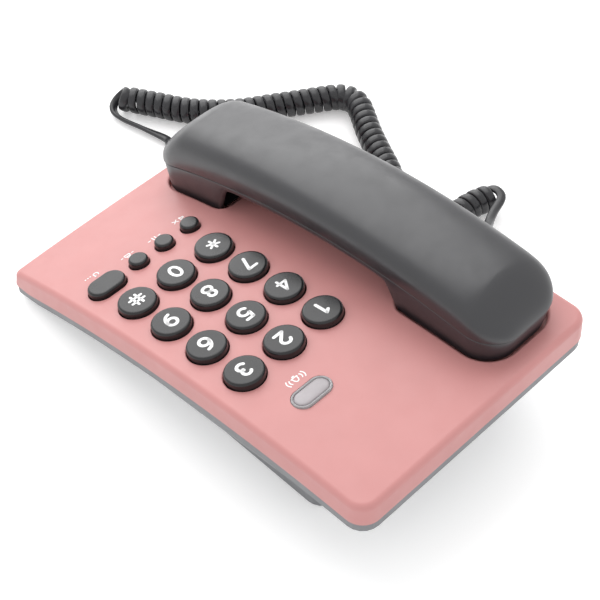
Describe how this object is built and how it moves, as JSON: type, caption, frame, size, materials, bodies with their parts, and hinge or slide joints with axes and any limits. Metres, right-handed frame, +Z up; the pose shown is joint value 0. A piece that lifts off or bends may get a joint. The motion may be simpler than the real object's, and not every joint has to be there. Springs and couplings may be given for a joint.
{
  "type": "corded desk telephone",
  "caption": "Corded desk telephone with an arched base, a push-button keypad, a ringer lamp and a handset on a curly cord.",
  "frame": {"origin": "middle of the base's footprint on the desk, cord left out", "axes": "+X to the user's right, +Y away from the user towards the raised rear edge, +Z up"},
  "size_m": [0.1948, 0.2791, 0.0786],
  "materials": {
    "cover": "satin",
    "case": "satin",
    "foot_rubber": "matte",
    "steel": "plain",
    "key": "satin",
    "silicone": "matte",
    "board": "satin",
    "lens": "frosted",
    "led": "gloss",
    "black_plastic": "satin",
    "handset": "satin",
    "cord": "satin"
  },
  "bodies": {
    "base": {"upper_cover": "cover", "lower_cover": "case", "desk_stand": "case", "rubber_feet": "foot_rubber", "case_screws": "steel", "keypad_mat": "silicone", "main_board": "board", "board_screws": "steel", "lamp_lens": "lens", "lamp_led": "led", "sounder": "black_plastic", "ballast_weight": "steel", "line_jack": "black_plastic", "base_jack": "black_plastic", "hook_switch": "black_plastic", "base_plug": "black_plastic", "cord_tail_handset": "cord", "cord_coil": "cord", "cord_tail_base": "cord"},
    "handset": {"handset_top_shell": "handset", "handset_bottom_shell": "handset", "ear_capsule": "steel", "mic_capsule": "black_plastic", "handset_weight": "steel", "handset_jack": "black_plastic", "handset_screws": "steel", "handset_plug": "black_plastic"},
    "hook": {"hook_plunger": "black_plastic"},
    "key_1_cap": {"key_1": "key"},
    "key_2_cap": {"key_2": "key"},
    "key_3_cap": {"key_3": "key"},
    "key_4_cap": {"key_4": "key"},
    "key_5_cap": {"key_5": "key"},
    "key_6_cap": {"key_6": "key"},
    "key_7_cap": {"key_7": "key"},
    "key_8_cap": {"key_8": "key"},
    "key_9_cap": {"key_9": "key"},
    "key_star_cap": {"key_star": "key"},
    "key_0_cap": {"key_0": "key"},
    "key_hash_cap": {"key_hash": "key"},
    "key_mute_cap": {"key_mute": "key"},
    "key_pause_cap": {"key_pause": "key"},
    "key_hold_cap": {"key_hold": "key"},
    "key_redial_cap": {"key_redial": "key"}
  },
  "joints": [
    {"name": "handset_lift", "type": "slide", "parent": "base", "child": "handset", "axis": [0, 0, 1], "range_m": [0, 0.1]},
    {"name": "hook_rise", "type": "slide", "parent": "base", "child": "hook", "axis": [0, 0, 1], "range_m": [0, 0.004]},
    {"name": "key_1_press", "type": "slide", "parent": "base", "child": "key_1_cap", "axis": [0, 0.1755, -0.9845], "range_m": [0, 0.0015], "stiffness_N_per_m": 400},
    {"name": "key_2_press", "type": "slide", "parent": "base", "child": "key_2_cap", "axis": [0, 0.1755, -0.9845], "range_m": [0, 0.0015], "stiffness_N_per_m": 400},
    {"name": "key_3_press", "type": "slide", "parent": "base", "child": "key_3_cap", "axis": [0, 0.1755, -0.9845], "range_m": [0, 0.0015], "stiffness_N_per_m": 400},
    {"name": "key_4_press", "type": "slide", "parent": "base", "child": "key_4_cap", "axis": [0, 0.1755, -0.9845], "range_m": [0, 0.0015], "stiffness_N_per_m": 400},
    {"name": "key_5_press", "type": "slide", "parent": "base", "child": "key_5_cap", "axis": [0, 0.1755, -0.9845], "range_m": [0, 0.0015], "stiffness_N_per_m": 400},
    {"name": "key_6_press", "type": "slide", "parent": "base", "child": "key_6_cap", "axis": [0, 0.1755, -0.9845], "range_m": [0, 0.0015], "stiffness_N_per_m": 400},
    {"name": "key_7_press", "type": "slide", "parent": "base", "child": "key_7_cap", "axis": [0, 0.1755, -0.9845], "range_m": [0, 0.0015], "stiffness_N_per_m": 400},
    {"name": "key_8_press", "type": "slide", "parent": "base", "child": "key_8_cap", "axis": [0, 0.1755, -0.9845], "range_m": [0, 0.0015], "stiffness_N_per_m": 400},
    {"name": "key_9_press", "type": "slide", "parent": "base", "child": "key_9_cap", "axis": [0, 0.1755, -0.9845], "range_m": [0, 0.0015], "stiffness_N_per_m": 400},
    {"name": "key_star_press", "type": "slide", "parent": "base", "child": "key_star_cap", "axis": [0, 0.1755, -0.9845], "range_m": [0, 0.0015], "stiffness_N_per_m": 400},
    {"name": "key_0_press", "type": "slide", "parent": "base", "child": "key_0_cap", "axis": [0, 0.1755, -0.9845], "range_m": [0, 0.0015], "stiffness_N_per_m": 400},
    {"name": "key_hash_press", "type": "slide", "parent": "base", "child": "key_hash_cap", "axis": [0, 0.1755, -0.9845], "range_m": [0, 0.0015], "stiffness_N_per_m": 400},
    {"name": "key_mute_press", "type": "slide", "parent": "base", "child": "key_mute_cap", "axis": [0, 0.1755, -0.9845], "range_m": [0, 0.0015], "stiffness_N_per_m": 400},
    {"name": "key_pause_press", "type": "slide", "parent": "base", "child": "key_pause_cap", "axis": [0, 0.1755, -0.9845], "range_m": [0, 0.0015], "stiffness_N_per_m": 400},
    {"name": "key_hold_press", "type": "slide", "parent": "base", "child": "key_hold_cap", "axis": [0, 0.1755, -0.9845], "range_m": [0, 0.0015], "stiffness_N_per_m": 400},
    {"name": "key_redial_press", "type": "slide", "parent": "base", "child": "key_redial_cap", "axis": [0, 0.1755, -0.9845], "range_m": [0, 0.0015], "stiffness_N_per_m": 400}
  ],
  "couplings": [
    {"joint": "hook_rise", "follows": "handset_lift", "ratio": 0.04}
  ]
}
